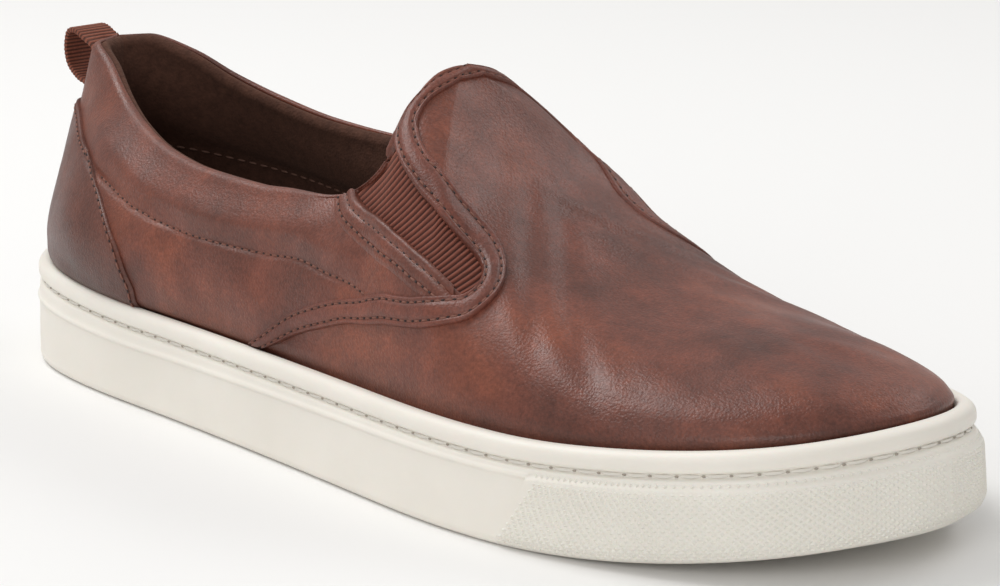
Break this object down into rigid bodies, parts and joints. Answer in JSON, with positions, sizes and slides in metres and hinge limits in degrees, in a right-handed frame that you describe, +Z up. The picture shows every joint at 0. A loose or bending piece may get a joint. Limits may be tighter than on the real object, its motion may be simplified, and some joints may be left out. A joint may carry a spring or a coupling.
{
  "type": "slip-on sneaker",
  "caption": "Brown leather slip-on sneaker, right shoe: hollow upper with elastic side inserts, heel pull loop and off-white rubber cup sole",
  "frame": {"origin": "middle of the whole shoe in plan, on the ground that the sole stands on", "axes": "+X from heel to toe, +Y to the inner side of the foot, +Z up from the ground"},
  "size_m": [0.3026, 0.109, 0.0939],
  "materials": {
    "sole_rubber": "matte off-white",
    "brown_leather": "satin, mottled",
    "brown_leather_trim": "satin",
    "brown_leather_dark": "satin",
    "elastic_webbing": "ribbed",
    "loop_webbing": "ribbed",
    "insole_textile": "matte"
  },
  "bodies": {
    "root": {"cupsole": "sole_rubber", "upper": "brown_leather", "gore_outer": "elastic_webbing", "gore_inner": "elastic_webbing", "vamp_trim": "brown_leather_trim", "heel_counter": "brown_leather_dark", "heel_loop": "loop_webbing", "insole": "insole_textile"}
  },
  "joints": []
}
